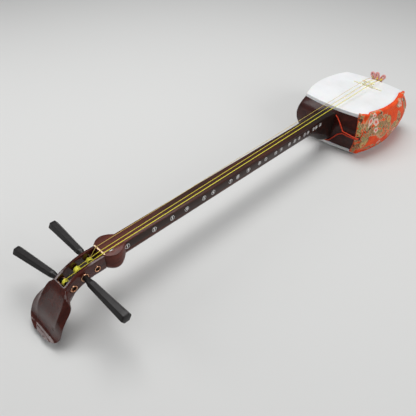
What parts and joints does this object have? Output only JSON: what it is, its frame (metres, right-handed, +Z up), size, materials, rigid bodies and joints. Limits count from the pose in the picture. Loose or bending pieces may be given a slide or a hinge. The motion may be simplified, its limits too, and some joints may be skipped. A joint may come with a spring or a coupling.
{
  "type": "shamisen",
  "caption": "Three-string Japanese lute lying on its back: square skinned body with a cloth cover, jointed fretless neck, turning side pegs and a backswept head.",
  "frame": {"origin": "bottom centre of the whole instrument's box, on the surface that it lies on", "axes": "+X along the neck from the head to the tail, -Y the side of the cloth cover, +Z up, out of the front skin"},
  "size_m": [0.9721, 0.2285, 0.1103],
  "materials": {
    "body_lacquer": "dark red-brown quince wood under a glossy clear lacquer",
    "neck_wood": "brown hardwood, fine grain, satin playing face and polished sides",
    "neck_root_wood": "the same wood darkening to a near-black gloss at the root",
    "head_lacquer": "very dark red-brown lacquer, high gloss",
    "skin": "white stretched skin, smooth satin",
    "ebony": "black, satin",
    "copper_ring": "copper-coloured plate, polished",
    "nut_brass": "pale brass, polished",
    "string_silk": "yellow twisted silk, slightly glossy",
    "tail_silk": "red-pink silk cord, braided",
    "brocade": "red-orange woven brocade with small plum flowers",
    "elastic_cord": "bright red elastic cord, fine braid",
    "eyelet_metal": "black-finished metal, satin",
    "bridge_ivory": "cream, smooth, slightly glossy",
    "sawari_metal": "bright metal",
    "number_film": "thin clear film over the wood, with white position numbers"
  },
  "bodies": {
    "instrument": {"back_skin": "skin", "body_stave_far": "body_lacquer", "body_stave_head": "body_lacquer", "body_stave_near": "body_lacquer", "body_stave_tail": "body_lacquer", "cloth_cover": "brocade", "cover_cord_head": "elastic_cord", "cover_cord_tail": "elastic_cord", "cover_eyelet_head": "eyelet_metal", "cover_eyelet_tail": "eyelet_metal", "front_skin": "skin", "lower_neck": "neck_root_wood", "middle_neck": "neck_wood", "nut": "nut_brass", "peg_1_bush_handle": "copper_ring", "peg_1_bush_tip": "copper_ring", "peg_2_bush_handle": "copper_ring", "peg_2_bush_tip": "copper_ring", "peg_3_bush_handle": "copper_ring", "peg_3_bush_tip": "copper_ring", "position_strip": "number_film", "string_1_thick": "string_silk", "string_2_middle": "string_silk", "string_3_thin": "string_silk", "tailpiece_cord": "tail_silk", "tailpiece_knot": "tail_silk", "tailpiece_loop_1": "tail_silk", "tailpiece_loop_2": "tail_silk", "tailpiece_loop_3": "tail_silk", "tenjin": "head_lacquer", "upper_neck": "neck_wood"},
    "peg_1": {"peg_1_string_rear": "ebony", "winding_1_string_rear": "string_silk"},
    "peg_2": {"peg_2_string_middle": "ebony", "winding_2_string_middle": "string_silk"},
    "peg_3": {"peg_3_string_front": "ebony", "winding_3_string_front": "string_silk"},
    "bridge": {"bridge": "bridge_ivory"},
    "sawari": {"sawari_piece": "sawari_metal"}
  },
  "joints": [
    {"name": "peg_1_turn", "type": "hinge", "parent": "instrument", "child": "peg_1", "pos_m": [-0.4216, 0.003, 0.06874], "axis": [-0.1701, 0.9854, -0.0062], "continuous": true},
    {"name": "peg_2_turn", "type": "hinge", "parent": "instrument", "child": "peg_2", "pos_m": [-0.39902, 0.004, 0.07663], "axis": [0, -1, 0], "continuous": true},
    {"name": "peg_3_turn", "type": "hinge", "parent": "instrument", "child": "peg_3", "pos_m": [-0.37688, 0.0055, 0.07809], "axis": [0.0215, 0.9998, -0.0002], "continuous": true},
    {"name": "bridge_slide", "type": "slide", "parent": "instrument", "child": "bridge", "axis": [-0.9999, 0, 0.0109], "range_m": [0, 0.008]},
    {"name": "sawari_lift", "type": "slide", "parent": "instrument", "child": "sawari", "axis": [0.0109, 0, 0.9999], "range_m": [0, 0.001]}
  ]
}
